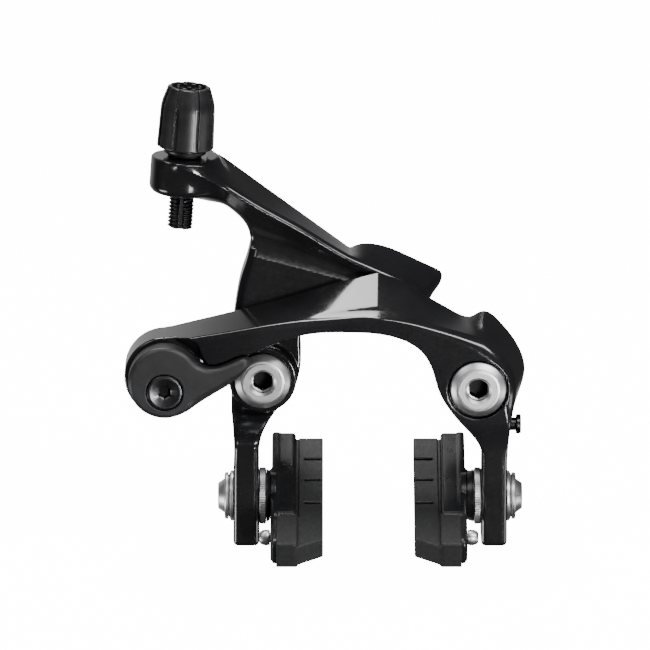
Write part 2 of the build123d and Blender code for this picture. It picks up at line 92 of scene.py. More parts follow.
def spline(points, step=0.5):
    """Points along a natural cubic spline through the given ones, or along a straight edge between two."""
    points = np.array(points, float)
    chord = np.linalg.norm(np.diff(points, axis=0), axis=1)
    knots = np.concatenate([[0], np.cumsum(chord)])
    at = np.linspace(0, knots[-1], max(2, int(knots[-1] / step) + 1))
    count = len(points)
    if count == 2:
        return points[0] + (points[1] - points[0]) * (at / knots[-1])[:, None]
    matrix = np.eye(count)
    right = np.zeros((count, 2))
    for i in range(1, count - 1):
        matrix[i, i - 1:i + 2] = chord[i - 1], 2 * (chord[i - 1] + chord[i]), chord[i]
        right[i] = 6 * ((points[i + 1] - points[i]) / chord[i] - (points[i] - points[i - 1]) / chord[i - 1])
    bend = np.linalg.solve(matrix, right)
    k = np.clip(np.searchsorted(knots, at, side="right") - 1, 0, count - 2)
    h = chord[k][:, None]
    a = (knots[k + 1] - at)[:, None]
    b = (at - knots[k])[:, None]
    return (bend[k] * a ** 3 + bend[k + 1] * b ** 3) / (6 * h) \
        + (points[k] / h - bend[k] * h / 6) * a + (points[k + 1] / h - bend[k + 1] * h / 6) * b


class Outline:
    """Distance to a line in the XZ plane, smooth between grid points and negative inside a closed line."""
    CELL = 0.35
    MARGIN = 14.0

    def __init__(self, stretches, closed=True):
        line = np.vstack([spline(s)[:-1] for s in stretches] + [np.array([stretches[-1][-1]], float)])
        self.low = line.min(0) - self.MARGIN
        size = np.ceil((line.max(0) + self.MARGIN - self.low) / self.CELL).astype(int) + 1
        x = (self.low[0] + self.CELL * np.arange(size[0]))[:, None]
        z = (self.low[1] + self.CELL * np.arange(size[1]))[None, :]
        nearest = np.full(tuple(size), 1e9)
        inside = np.zeros(tuple(size), bool)
        for (ax, az), (bx, bz) in zip(line[:-1], line[1:]):
            dx, dz = bx - ax, bz - az
            length2 = dx * dx + dz * dz
            if length2 < 1e-12:
                continue
            t = np.clip(((x - ax) * dx + (z - az) * dz) / length2, 0, 1)
            nearest = np.minimum(nearest, (x - ax - t * dx) ** 2 + (z - az - t * dz) ** 2)
            if closed and az != bz:
                crosses = ((az > z) != (bz > z)) & (x < ax + dx * (z - az) / dz)
                inside ^= crosses
        distance = np.sqrt(nearest)
        self.grid = np.where(inside, -distance, distance) if closed else distance

    def __call__(self, x, z):
        u = np.clip((x - self.low[0]) / self.CELL, 1.001, self.grid.shape[0] - 3.001)
        v = np.clip((z - self.low[1]) / self.CELL, 1.001, self.grid.shape[1] - 3.001)
        i, j = np.floor(u).astype(int), np.floor(v).astype(int)
        wu, wv = cubic_weights(u - i), cubic_weights(v - j)
        total = 0.0
        for a in range(4):
            row = 0.0
            for b in range(4):
                row = row + wv[b] * self.grid[i + (a - 1), j + (b - 1)]
            total = total + wu[a] * row
        return total


def cubic_weights(t):
    """Weights of the four grid lines round a place, for a uniform cubic B-spline."""
    return ((1 - t) ** 3 / 6, (3 * t ** 3 - 6 * t ** 2 + 4) / 6,
            (-3 * t ** 3 + 3 * t ** 2 + 3 * t + 1) / 6, t ** 3 / 6)


# ---------------------------------------------------------------- distance functions

def ramp(t):
    """0 below t = 0, 1 above t = 1, smooth between."""
    t = np.clip(t, 0, 1)
    return t * t * (3 - 2 * t)


def mix(a, b, t):
    return a + (b - a) * t


def meet(a, b, radius):
    """What is inside both shapes, with the edge between them rounded."""
    u = np.maximum(a + radius, 0)
    v = np.maximum(b + radius, 0)
    return np.minimum(np.maximum(a, b), -radius) + np.sqrt(u * u + v * v)


def join(a, b, radius):
    """What is inside either shape, with a fillet between them."""
    return -meet(-a, -b, radius)


def cut(a, b, radius):
    """Shape a without shape b."""
    return meet(a, -b, radius)


def soft_min(a, b, width):
    """The lower of two values, blended where they are within a width of each other."""
    near = np.maximum(width - np.abs(a - b), 0) / width
    return np.minimum(a, b) - near * near * width / 4


def bevel(a, b, width):
    """Flat bevel of that width along the edge where faces a and b meet."""
    return (a + b + width / math.sqrt(2)) / math.sqrt(2)


def round_y(x, y, z, cx, cz, radius, low, high, edge):
    """Cylinder along Y with rounded edges."""
    wall = np.sqrt((x - cx) ** 2 + (z - cz) ** 2) - radius
    return meet(wall, np.maximum(low - y, y - high), edge)


def round_x(x, y, z, cy, cz, radius, low, high, edge):
    """Cylinder along X with rounded edges."""
    wall = np.sqrt((y - cy) ** 2 + (z - cz) ** 2) - radius
    return meet(wall, np.maximum(low - x, x - high), edge)


# ---------------------------------------------------------------- meshes from distance functions

CORNERS = [(i, j, k) for i in (0, 1) for j in (0, 1) for k in (0, 1)]
EDGES = [(a, b) for a in range(8) for b in range(a + 1, 8)
         if sum(abs(p - q) for p, q in zip(CORNERS[a], CORNERS[b])) == 1]


def slope(f, p, h=0.02):
    """Gradient of f at the rows of p."""
    x, y, z = p.T
    return np.stack([f(x + h, y, z) - f(x - h, y, z),
                     f(x, y + h, z) - f(x, y - h, z),
                     f(x, y, z + h) - f(x, y, z - h)], axis=1) / (2 * h)


def settle(f, p, most):
    """Moves points onto the surface f = 0, by at most a given distance."""
    g = slope(f, p)
    move = -f(*p.T)[:, None] * g / np.maximum((g * g).sum(1), 0.05)[:, None]
    length = np.linalg.norm(move, axis=1)[:, None]
    return p + move * np.minimum(1, most / np.maximum(length, 1e-9))


def net(f, low, high, cell):
    """Quads over the surface of f between two corners: one vertex in each cell that the surface crosses."""
    axes = [np.arange(low[k], high[k] + cell, cell) for k in range(3)]
    shape = tuple(len(a) for a in axes)
    x, y, z = axes[0][:, None, None], axes[1][None, :, None], axes[2][None, None, :]
    values = np.broadcast_to(f(x, y, z), shape)
    inside = values < 0
    count = sum(inside[i:shape[0] - 1 + i, j:shape[1] - 1 + j, k:shape[2] - 1 + k].astype(np.int8)
                for i, j, k in CORNERS)
    cells = np.argwhere((count > 0) & (count < 8))
    number = np.full(tuple(s - 1 for s in shape), -1, np.int64)
    number[tuple(cells.T)] = np.arange(len(cells))
    corner = np.stack([values[tuple((cells + c).T)] for c in CORNERS], axis=1)
    total = np.zeros((len(cells), 3))
    hits = np.zeros(len(cells))
    for a, b in EDGES:
        crossed = (corner[:, a] < 0) != (corner[:, b] < 0)
        t = np.where(crossed, corner[:, a] / np.where(crossed, corner[:, a] - corner[:, b], 1), 0)
        where = np.array(CORNERS[a]) + t[:, None] * (np.array(CORNERS[b]) - np.array(CORNERS[a]))
        total += where * crossed[:, None]
        hits += crossed
    points = np.array(low) + cell * (cells + total / hits[:, None])
    quads = []
    for k in range(3):
        u, v = (k + 1) % 3, (k + 2) % 3
        near = [slice(1, -1)] * 3
        near[k] = slice(0, -1)
        far = list(near)
        far[k] = slice(1, None)
        first, second = inside[tuple(near)], inside[tuple(far)]
        for changed, flip in ((first & ~second, False), (~first & second, True)):
            at = np.argwhere(changed) + np.array([0 if axis == k else 1 for axis in range(3)])
            ring = []
            for du, dv in ((-1, -1), (0, -1), (0, 0), (-1, 0)):
                shifted = at.copy()
                shifted[:, u] += du
                shifted[:, v] += dv
                ring.append(number[tuple(shifted.T)])
            quad = np.stack(ring, axis=1)
            quads.append(quad[:, ::-1] if flip else quad)
    return points, np.vstack(quads)


def relax(f, points, quads, cell):
    """Evens out the net and lays it on the surface."""
    ends = np.vstack([quads[:, [0, 1]], quads[:, [1, 2]], quads[:, [2, 3]], quads[:, [3, 0]]])
    start, end = np.concatenate([ends[:, 0], ends[:, 1]]), np.concatenate([ends[:, 1], ends[:, 0]])
    degree = np.maximum(np.bincount(start, minlength=len(points)), 1)
    for _ in range(3):
        middle = np.stack([np.bincount(start, points[end, k], len(points)) for k in range(3)], axis=1)
        points = settle(f, mix(points, middle / degree[:, None], 0.5), cell)
    for _ in range(2):
        points = settle(f, points, cell)
    return points


def new_object(name, points, faces):
    """Smooth-shaded mesh object from points in millimetres."""
    mesh = bpy.data.meshes.new(name)
    if isinstance(faces, np.ndarray):
        faces = faces.tolist()
    mesh.from_pydata((np.asarray(points) * MM).tolist(), [], faces)
    mesh.validate()
    mesh.shade_smooth()
    obj = bpy.data.objects.new(name, mesh)
    bpy.context.scene.collection.objects.link(obj)
    return obj


def form(name, f, low, high, cell, place=None):
    """Piece whose surface is f = 0, with the exact normals of f. place turns it from its own frame."""
    points, quads = net(f, low, high, cell)
    points = relax(f, points, quads, cell)
    normals = slope(f, points)
    normals /= np.maximum(np.linalg.norm(normals, axis=1), 1e-9)[:, None]
    if place is not None:
        turn = np.array(place.to_3x3())
        points = points @ turn.T + np.array(place.translation)
        normals = normals @ turn.T
        if np.linalg.det(turn) < 0:
            quads = quads[:, ::-1]
    obj = new_object(name, points, quads)
    if len(obj.data.vertices) == len(normals):
        obj.data.normals_split_custom_set_from_vertices(normals.tolist())
    return obj


# ---------------------------------------------------------------- right arm

RIGHT_LEG = [
    [(35.7, -20.0), (35.7, -41.8)],
    [(35.7, -41.8), (35.4, -42.7), (34.5, -43.0)],
    [(34.5, -43.0), (30.1, -43.0)],
    [(30.1, -43.0), (29.2, -42.7), (28.9, -41.8)],
    [(28.9, -41.8), (29.0, -17.5)],
]
RIGHT_UNDER = [
    (29.0, -17.5), (28.1, -15.2), (23.3, -8.9), (20.7, -5.7), (17.6, 0.0), (16.0, 5.4), (12.9, 10.4),
    (7.7, 13.5), (-5.3, 15.3), (-17.7, 14.5), (-28.1, 10.8), (-35.1, 7.5), (-40.3, 4.6), (-45.0, -1.5),
    (-49.0, -6.0),
]
RIGHT_FRONT = Outline([
    [(-53.3, 12.9), (-40.3, 14.6), (-23.5, 17.3), (-5.3, 18.8), (2.0, 19.1), (7.7, 18.4), (18.1, 16.1),
     (25.9, 13.8), (31.1, 10.8), (35.8, 5.4), (37.4, -1.4), (36.6, -9.0), (35.7, -20.0)],
    *RIGHT_LEG, RIGHT_UNDER, [(-49.0, -6.0), (-53.3, 12.9)]])
RIGHT_BACK = Outline([
    [(-53.3, 13.1), (-44.2, 15.4), (-28.1, 19.5), (-18.3, 22.3), (-7.9, 25.6), (2.0, 28.1)],
    [(2.0, 28.1), (7.7, 26.1), (15.5, 21.3), (20.7, 18.2), (23.6, 16.6), (26.2, 16.2), (28.0, 17.3),
     (30.0, 17.7), (33.7, 15.1), (38.4, 8.9), (40.5, 1.9), (39.2, -3.5), (37.0, -9.6), (35.7, -20.0)],
    *RIGHT_LEG, RIGHT_UNDER, [(-49.0, -6.0), (-53.3, 13.1)]])
LEVER = Outline([
    [(-37.0, 1.5), (-44.2, -3.0), (-48.55, -5.73), (-53.3, -7.0), (-58.05, -5.73), (-61.53, -2.25),
     (-62.8, 2.5), (-61.53, 7.25), (-58.05, 10.73), (-53.3, 12.0), (-49.4, 11.2), (-46.8, 9.4),
     (-45.0, 7.5), (-42.9, 6.4), (-40.3, 6.2), (-36.4, 7.5), (-33.6, 8.7)],
    [(-33.6, 8.7), (-32.2, 8.8), (-31.4, 7.9), (-31.9, 6.2), (-33.6, 4.4)],
    [(-33.6, 4.4), (-37.0, 1.5)]])

ARM_FRONT_Y, ARM_BACK_Y, ARM_SEAT_Y = -29.0, -14.0, -1.5
RECESS_Y, RECESS_OPEN_X, LEVER_GAP = -25.6, -50.4, 0.5
CAM_END_R, CAM_BORE_R = 10.6, 6.6
RIGHT_BOSS_R, RIGHT_BOSS_FRONT = 10.0, -18.0
BOLT_SEAT_R, BOLT_SEAT_Y = 7.9, -27.0


def pivot_holes(x, y, z, cx):
    """Bush bore right through a pivot at x = cx, and the spring pocket behind it."""
    radius = np.sqrt((x - cx) ** 2 + z ** 2)
    pocket = np.maximum(radius - SPRING_POCKET_R, SPRING_POCKET_Y - y)
    return np.minimum(radius - PIVOT_BORE_R, pocket)


def shoe_slot(y, z):
    """Upright slot through a leg, along the whole X axis."""
    reach = np.abs(z - SHOE_Z) - SLOT_REACH
    return np.sqrt(np.maximum(reach, 0) ** 2 + (y - SHOE_Y) ** 2) - SLOT_R


def right_arm_shape(x, y, z):
    """Arm that widens from front to back, with the lever's recess, the cam's bore and the pivot's boss."""
    front_line, back_line = RIGHT_FRONT(x, z), RIGHT_BACK(x, z)
    side = mix(front_line, back_line, np.clip((y - ARM_FRONT_Y) / (ARM_BACK_Y - ARM_FRONT_Y), -0.1, 1.1))
    low = ramp((-9.0 - z) / 8.0)
    front = ARM_FRONT_Y + 2.0 * low - y
    back = y - ARM_BACK_Y - 1.0 * low
    upper = ramp((front_line - back_line) / 1.5)
    shoulder = upper * ramp((x - 3.0) / 26.0)
    edge = 0.55 + 2.2 * shoulder + 0.8 * ramp((-12.0 - z) / 8.0)
    body = meet(side, front, edge)
    strip = upper * ramp((6.0 - x) / 10.0)
    body = meet(body, bevel(side, front, 1.5 * strip), 0.22)
    body = meet(body, back, 0.9)
    wide = ramp((-41.5 - x) / 4.0) * np.clip(RECESS_Y - y, 0, 5)
    recess = join(LEVER(x, z) - LEVER_GAP - wide, x - RECESS_OPEN_X, 1.0)
    body = cut(body, np.maximum(recess, y - RECESS_Y), 0.35)
    cam = round_y(x, y, z, CAM_X, CAM_Z, CAM_END_R, RECESS_Y, ARM_BACK_Y, 0.7)
    body = join(body, cam, 0.6)
    pivot = round_y(x, y, z, PIVOT_X, 0.0, RIGHT_BOSS_R, RIGHT_BOSS_FRONT, ARM_SEAT_Y, 0.8)
    body = join(body, pivot, 2.0)
    radius = np.sqrt((x - PIVOT_X) ** 2 + z ** 2)
    body = cut(body, np.maximum(radius - BOLT_SEAT_R, y - BOLT_SEAT_Y), 0.3)
    body = cut(body, pivot_holes(x, y, z, PIVOT_X), 0.25)
    body = cut(body, shoe_slot(y, z), 0.3)
    return cut(body, np.sqrt((x - CAM_X) ** 2 + (z - CAM_Z) ** 2) - CAM_BORE_R, 0.3)


# ---------------------------------------------------------------- left arm

LEFT_SIDE = [(-31.1, 34.6), (-32.3, 29.7), (-33.6, 25.7), (-34.6, 21.1), (-35.6, 14.0), (-36.2, 6.0)]
LEFT_LOWER = [
    [(-36.2, 6.0), (-36.2, -9.0)],
    [(-36.2, -9.0), (-35.5, -15.0), (-35.6, -22.0)],
    [(-35.6, -22.0), (-35.7, -41.8)],
    [(-35.7, -41.8), (-35.4, -42.7), (-34.5, -43.0)],
    [(-34.5, -43.0), (-30.1, -43.0)],
    [(-30.1, -43.0), (-29.2, -42.7), (-28.9, -41.8)],
    [(-28.9, -41.8), (-29.0, -17.5)],
    [(-29.0, -17.5), (-28.4, -14.2), (-24.8, -9.2), (-20.6, -4.4), (-18.6, 0.0), (-18.0, 5.0),
     (-17.9, 11.0), (-16.5, 13.3), (-13.0, 13.6)],
    [(-13.0, 13.6), (7.5, 13.6)],
]
LEFT_UNDER = [(-49.0, 48.6), (-45.5, 47.9), (-40.3, 46.7), (-35.1, 43.2), (-31.9, 38.6), (-31.1, 34.6)]
LEFT_RIDGE = [
    (-49.0, 58.2), (-46.8, 57.6), (-40.3, 54.3), (-33.9, 50.0), (-28.1, 46.2), (-18.3, 40.3), (-7.9, 33.4),
    (2.0, 28.0), (7.7, 25.2), (12.0, 22.6), (15.2, 20.4),
]
LEFT_FRONT = Outline([
    LEFT_RIDGE,
    [(15.2, 20.4), (15.3, 19.6), (14.2, 17.6), (11.0, 14.6), (7.5, 13.6)],
    *[s[::-1] for s in LEFT_LOWER[::-1]], LEFT_SIDE[::-1], LEFT_UNDER[::-1],
    [(-49.0, 48.6), (-49.0, 58.2)]])
LEFT_BACK = Outline([
    [(-49.0, 57.6), (-43.0, 57.3), (-39.5, 56.5), (-36.5, 54.6)],
    [(-36.5, 54.6), (-5.3, 31.3)],
    [(-5.3, 31.3), (-3.6, 32.1), (3.0, 32.1), (6.4, 31.0), (10.3, 29.2), (17.4, 25.9)],
    [(17.4, 25.9), (19.0, 24.6), (18.9, 22.3), (17.3, 19.8), (14.2, 16.4), (11.0, 14.3), (7.5, 13.6)],
    *[s[::-1] for s in LEFT_LOWER[::-1]], LEFT_SIDE[::-1], LEFT_UNDER[::-1],
    [(-49.0, 48.6), (-49.0, 57.6)]])
RIDGE = Outline([LEFT_RIDGE], closed=False)
POCKET_Y, CREASE_Y = -9.8, -12.3
CREASE_X, CREASE_Z, CREASE_FALL = -29.4, 31.1, 0.27
LEFT_LEG_FRONT, LEFT_STEP_BACK, LEFT_LEG_BACK = -27.0, -9.0, -13.0
LEFT_BOSS_R, LEFT_BOSS_FRONT, LEFT_BOSS_BACK = 8.8, -19.0, -5.0


def left_front_depth(x, z):
    """Depth of the left arm's front surface, and of its ridge. A slope falls from the ridge to the pocket's
    floor, and a crease across the arm parts a slanted upper face from a nearly upright lower one."""
    ridge_y = -19.0 + 6.2 * ramp((x + 46.0) / 50.0)
    under = ridge_y + 0.95 * np.maximum(RIDGE(x, z) - 1.2, 0)
    over_crease = (z - CREASE_Z) + CREASE_FALL * (x - CREASE_X)
    lower = CREASE_Y + np.where(over_crease > 0, 0.7, 0.075) * over_crease
    return soft_min(soft_min(under, lower, 2.5), POCKET_Y, 4.0), ridge_y


def link_slot(x, z):
    """Slot for the link's roller, on an arc about the point midway between the pivots."""
    along = np.clip(np.arctan2(x, z), 0, math.radians(LINK_SLOT_TURN))
    return np.sqrt((x - LINK_Z * np.sin(along)) ** 2 + (z - LINK_Z * np.cos(along)) ** 2) - LINK_SLOT_R


def left_arm_shape(x, y, z):
    """Arm with a ridged and pocketed front, the adjuster's boss at its top and the link's slot."""
    depth, ridge_y = left_front_depth(x, z)
    t = np.clip((y - ridge_y) / (ARM_SEAT_Y - ridge_y), -0.1, 1.1)
    side = mix(LEFT_FRONT(x, z), LEFT_BACK(x, z), t)
    front = mix(depth, LEFT_LEG_FRONT, ramp((-6.0 - z) / 10.5)) - y
    back_y = mix(ARM_SEAT_Y, LEFT_STEP_BACK, ramp((-9.0 - z) / 3.0))
    back_y = back_y + (LEFT_LEG_BACK - LEFT_STEP_BACK) * ramp((-12.0 - z) / 5.0)
    edge = 0.7 + 0.8 * ramp((np.abs(z - 4.0) - 12.0) / 8.0)
    body = meet(side, front, edge)
    band = ramp((36.0 - z) / 3.0) * ramp((-24.0 - x) / 3.0) * ramp((z - 8.0) / 6.0)
    body = meet(body, bevel(side, front, 2.6) - 4.0 * (1 - band), 0.3)
    body = meet(body, y - back_y, 0.8)
    pivot = round_y(x, y, z, -PIVOT_X, 0.0, LEFT_BOSS_R, LEFT_BOSS_FRONT, LEFT_BOSS_BACK, 0.5)
    body = join(body, pivot, 0.8)
    lean = math.radians(ADJUSTER_LEAN)
    across = (x - ADJUSTER.x) * math.cos(lean) - (z - ADJUSTER.z) * math.sin(lean)
    height = (x - ADJUSTER.x) * math.sin(lean) + (z - ADJUSTER.z) * math.cos(lean)
    radius = np.sqrt(across ** 2 + (y - ADJUSTER.y) ** 2)
    boss = meet(meet(radius - ADJUSTER_BOSS_R, height, 0.8), -ADJUSTER_BOSS_H - height, 2.0)
    body = join(body, boss, 5.0)
    body = meet(body, height - 8.0 * ramp((x + 43.0) / 3.0), 0.3)
    body = cut(body, radius - THREAD_R - 0.15, 0.3)
    body = cut(body, pivot_holes(x, y, z, -PIVOT_X), 0.25)
    body = cut(body, shoe_slot(y, z), 0.3)
    return cut(body, link_slot(x, z), 0.3)


# ---------------------------------------------------------------- small moulded pieces

KNOB_R, KNOB_LOW, KNOB_CONE, KNOB_HIGH = 7.45, 2.6, 14.3, 18.7
KNOB_LOBES, KNOB_THREAD = 8, 5.0
SOCKET_R, SOCKET_DEPTH = 2.6, 9.0
LEVER_FRONT, LEVER_BACK, GROOVE_R, GROOVE_FLOOR = -32.0, -26.0, 4.85, -29.4


def lever_shape(x, y, z):
    """Lever with bevelled edges, a ring groove round the anchor bolt and a scooped lower flank."""
    side = LEVER(x, z)
    flank = (z + 2.0) - 0.593 * (x + 46.5)
    scoop = 0.34 * np.maximum(-flank, 0) * ramp((x + 47.5) / 3.0)
    front = LEVER_FRONT + scoop - y
    body = meet(side, front, 0.25)
    body = meet(body, bevel(side, front, 1.1), 0.2)
    body = meet(body, y - LEVER_BACK, 0.5)
    radius = np.sqrt((x - CAM_X) ** 2 + (z - ANCHOR_Z) ** 2)
    body = cut(body, np.maximum(radius - GROOVE_R, y - GROOVE_FLOOR), 0.25)
    return cut(body, radius - 2.7, 0.2)


def knob_shape(x, y, z):
    """Knob in the adjuster's own frame: eight lobes parted by grooves, a cone and a notched rim."""
    angle = np.arctan2(y, x)
    lobe = 2 * math.pi / KNOB_LOBES
    turn = angle - lobe * np.round(angle / lobe)
    radius = np.sqrt(x * x + y * y)
    taper = 0.033 * np.maximum(z - KNOB_LOW, 0)
    wall = mix(radius, radius * np.cos(turn), 0.2) - KNOB_R + 0.05 + taper
    cone = radius - KNOB_R + 0.5 + (z - KNOB_CONE) * 0.33
    body = meet(wall, cone, 0.4)
    body = meet(body, np.maximum(KNOB_LOW - z, z - KNOB_HIGH), 0.35)
    across = np.abs(radius * np.sin(np.abs(turn) - lobe / 2))
    groove = np.maximum(across - 0.55, -0.6 - np.maximum(wall, cone))
    body = cut(body, groove, 0.15)
    rim = np.maximum(np.maximum(3.35 - radius, radius - 4.4), KNOB_HIGH - 1.7 - z)
    body = cut(body, rim, 0.15)
    notch = np.maximum(np.abs(radius * np.sin(turn)) - 0.55, KNOB_HIGH - 0.9 - z)
    body = cut(body, np.maximum(notch, radius - 3.6), 0.12)
    socket = np.maximum(radius - SOCKET_R, KNOB_HIGH - SOCKET_DEPTH - z)
    body = cut(body, socket, 0.15)
    bore = np.minimum(radius - 1.1, np.maximum(radius - THREAD_R - 0.05, z - KNOB_LOW - KNOB_THREAD))
    return cut(body, bore, 0.1)


def adjuster_thread_shape(x, y, z):
    """Hollow bolt with a helical thread and a keyway down its front, in the adjuster's own frame."""
    radius = np.sqrt(x * x + y * y)
    turn = np.arctan2(y, x) / (2 * math.pi)
    phase = z / THREAD_PITCH - turn
    wave = np.abs(phase - np.round(phase)) * 2
    crest = radius - THREAD_R + 0.5 * ramp(wave * 1.25 - 0.1)
    body = meet(crest, np.maximum(THREAD_END - z, z - KNOB_LOW - KNOB_THREAD), 0.25)
    aim = math.radians(-87.0)
    along = x * math.cos(aim) + y * math.sin(aim)
    across = -x * math.sin(aim) + y * math.cos(aim)
    body = cut(body, np.maximum(np.abs(across) - 0.6, 2.35 - along), 0.15)
    return cut(body, radius - 1.15, 0.12)


# shoes, in a frame on the shoe bolt's axis whose x runs from the leg towards the rim; back is the x of the
# holder's seat on the washers, and plate is the back of its plate
HOLDER_FRONT, HOLDER_REAR, LIP_FRONT, HOLDER_HALF = -28.0, 25.0, -15.3, 3.8
PAD_FRONT, PAD_REAR, PAD_TOP, PAD_BOTTOM = -28.7, 24.0, 2.6, -3.2
PAD_GROOVES = (13.6, 3.6, -7.4)
PLATE_T, LIP_DEPTH, PAD_DEPTH, TONGUE_DEPTH = 1.5, 6.1, 13.2, 6.5
SEAT_DEPTH, PAD_SINK = 0.5, 0.5
PAD_SCREW_Y = -20.0
NOSE_R, BEAD_R = 2.2, 0.95
SPUR_REACH, SPUR_LOW, SPUR_HIGH, SPUR_HALF = 0.95, 2.0, 9.5, 3.3
LEFT_STACK, RIGHT_STACK, WASHER_GAP = 2.95, 3.75, 0.1
CUP_X = -LEG_T - 2.4
DOME_X = -LEG_T - 1.3


def slab(x, y, z, low, high, edge):
    """Box between two corners with rounded edges."""
    wide = np.maximum(low[0] - x, x - high[0])
    deep = np.maximum(low[1] - y, y - high[1])
    tall = np.maximum(low[2] - z, z - high[2])
    return meet(meet(wide, deep, edge), tall, edge)


def holder_shape(back):
    """Tray that the pad slides into: a plate with lips above and below, and humps on its back."""
    plate, half = back + SEAT_DEPTH, HOLDER_HALF
    inside, lip_edge = plate + PLATE_T, plate + LIP_DEPTH

    def shape(x, y, z):
        lips = slab(x, y, z, (plate, LIP_FRONT, -half), (lip_edge, HOLDER_REAR, half), 1.0)
        sheet = slab(x, y, z, (plate, HOLDER_FRONT, -half), (inside, HOLDER_REAR, half), 0.45)
        nose = np.hypot(np.maximum(np.abs(z) - half + NOSE_R, 0), np.maximum(HOLDER_FRONT + NOSE_R - y, 0))
        body = join(meet(sheet, nose - NOSE_R, 0.4), lips, 0.8)
        bead = np.hypot(y - LIP_FRONT - 0.9, np.abs(z) - half + 0.75) - BEAD_R
        body = join(body, meet(bead, np.maximum(plate + 0.2 - x, x - lip_edge + 0.1), 0.3), 0.25)
        channel = np.maximum(np.maximum(inside - x, z - PAD_TOP - 0.1), PAD_BOTTOM - 0.1 - z)
        body = cut(body, channel, 0.2)
        hump = slab(x, y, z, (back, -9.5, -half + 0.2), (plate + 1.0, 9.5, half - 0.2), 0.3)
        hump = meet(hump, np.abs(y) - 7.6 - 1.1 * (x - back), 0.4)
        body = join(body, hump, 0.5)
        tip = back - SPUR_REACH
        spur = slab(x, y, z, (tip, SPUR_LOW, -SPUR_HALF), (plate + 0.5, SPUR_HIGH, SPUR_HALF), 0.3)
        spur = meet(spur, y - 6.9 - 1.1 * (x - tip), 0.4)
        body = join(body, spur, 0.4)
        body = join(body, round_x(x, y, z, 0, 0, 6.0, back, plate + 1.0, 0.2), 0.3)
        body = join(body, slab(x, y, z, (back, -26.3, -3.2), (plate + 1.0, -14.0, 3.2), 0.4), 0.5)
        body = cut(body, np.hypot(y, z) - 3.1, 0.15)
        return cut(body, np.hypot(y - PAD_SCREW_Y, z) - 1.35, 0.15)
    return shape


def pad_shape(back):
    """Rubber block with a foot in the holder, a waist, grooves across its face and a slanted front end."""
    plate = back + SEAT_DEPTH
    tongue, face = plate + PLATE_T - PAD_SINK, plate + PAD_DEPTH

    def shape(x, y, z):
        tall = np.maximum(PAD_BOTTOM - z, z - PAD_TOP)
        long = np.maximum(PAD_FRONT - y, y - PAD_REAR)
        foot = np.maximum(np.abs(z) - 3.75, np.maximum(x - plate - LIP_DEPTH - 0.4, y - LIP_FRONT - 1.2))
        section = join(tall, foot, 0.5)
        body = meet(meet(section, long, 0.6), np.maximum(tongue - x, x - face), 0.35)
        waist = np.maximum(np.abs(x - plate - TONGUE_DEPTH) - 0.35, LIP_FRONT + 1.0 - y)
        body = cut(body, np.maximum(waist, PAD_TOP - 0.55 - np.abs(z)), 0.15)
        for y0 in PAD_GROOVES:
            body = cut(body, np.maximum(np.abs(y - y0) - 0.55, face - 5.0 - x), 0.25)
        wedge = (PAD_FRONT + 0.6 * (x - face + 7.0) - y) / 1.17
        body = meet(body, wedge, 0.4)
        return cut(body, np.hypot(y, z) - 3.4 + 100 * (x > plate + 3.4), 0.2)
    return shape


# ---------------------------------------------------------------- turned pieces

SHANK_R = 2.7


def turned(name, rows, place, steps=96, flutes=0, flute_depth=0.0):
    """Closed piece of revolution from rows of (height, radius, kind). The kind is '' for a round ring,
    'hex' for the flats of a key socket or 'rib' for a serrated rim. place carries it into the caliper."""
    points, faces = [], []
    rings = []
    for height, radius, kind in rows:
        if radius < 1e-6:
            rings.append([len(points)])
            points.append((0.0, 0.0, height))
            continue
        ring = []
        for k in range(steps):
            angle = 2 * math.pi * k / steps
            reach = radius
            if kind == "hex":
                off = (angle + math.pi / 6) % (math.pi / 3) - math.pi / 6
                reach = radius / math.cos(off)
            if kind == "rib":
                reach = radius - flute_depth * (0.5 - 0.5 * math.cos(flutes * angle))
            ring.append(len(points))
            points.append((reach * math.cos(angle), reach * math.sin(angle), height))
        rings.append(ring)
    following = rings[1:] + rings[:1] if len(rings[0]) > 1 else rings[1:]
    for first, second in zip(rings, following):
        for k in range(steps):
            n = (k + 1) % steps
            if len(first) == 1:
                faces.append((first[0], second[n], second[k]))
            elif len(second) == 1:
                faces.append((first[k], first[n], second[0]))
            else:
                faces.append((first[k], first[n], second[n], second[k]))
    points = [tuple(place @ Vector(p)) for p in points]
    if place.determinant() < 0:
        faces = [face[::-1] for face in faces]
    obj = new_object(name, points, faces)
    obj.data.set_sharp_from_angle(angle=math.radians(32))
    obj["socket_faces"] = steps * sum(1 for row in rows if row[2] == "hex")
    return obj


def plain(*rows):
    """Rows of round rings from pairs of height and radius."""
    return [(height, radius, "") for height, radius in rows]


def thread_rows(start, end, radius, pitch=1.0, depth=0.32):
    """Rings of a thread from one height to another."""
    rows = []
    count = int((end - start) / pitch)
    for k in range(count):
        base = start + k * pitch
        rows += plain((base + 0.1 * pitch, radius), (base + 0.35 * pitch, radius),
                      (base + 0.55 * pitch, radius - depth), (base + 0.9 * pitch, radius - depth))
    return rows


def along_y(x, z):
    """Frame whose Z axis runs along the caliper's Y axis."""
    return Matrix.Translation((x, 0, z)) @ Matrix.Rotation(math.radians(-90), 4, "X")


def along_x(y, z):
    """Frame whose Z axis runs along the caliper's X axis."""
    return Matrix.Translation((0, y, z)) @ Matrix.Rotation(math.radians(90), 4, "Y")


def adjuster_frame():
    """Frame on top of the adjuster's boss, whose Z axis leans with the adjuster."""
    return Matrix.Translation(ADJUSTER) @ Matrix.Rotation(math.radians(ADJUSTER_LEAN), 4, "Y")


def shoe_frame(side):
    """Shoe frame of the left (-1) or right (1) side, whose x runs towards the rim."""
    turn = Matrix.Rotation(math.radians(SHOE_TILT), 4, "X")
    if side > 0:
        turn = turn @ Matrix.Diagonal((-1, 1, 1, 1))
    return Matrix.Translation((side * LEG_IN, SHOE_Y, SHOE_Z)) @ turn


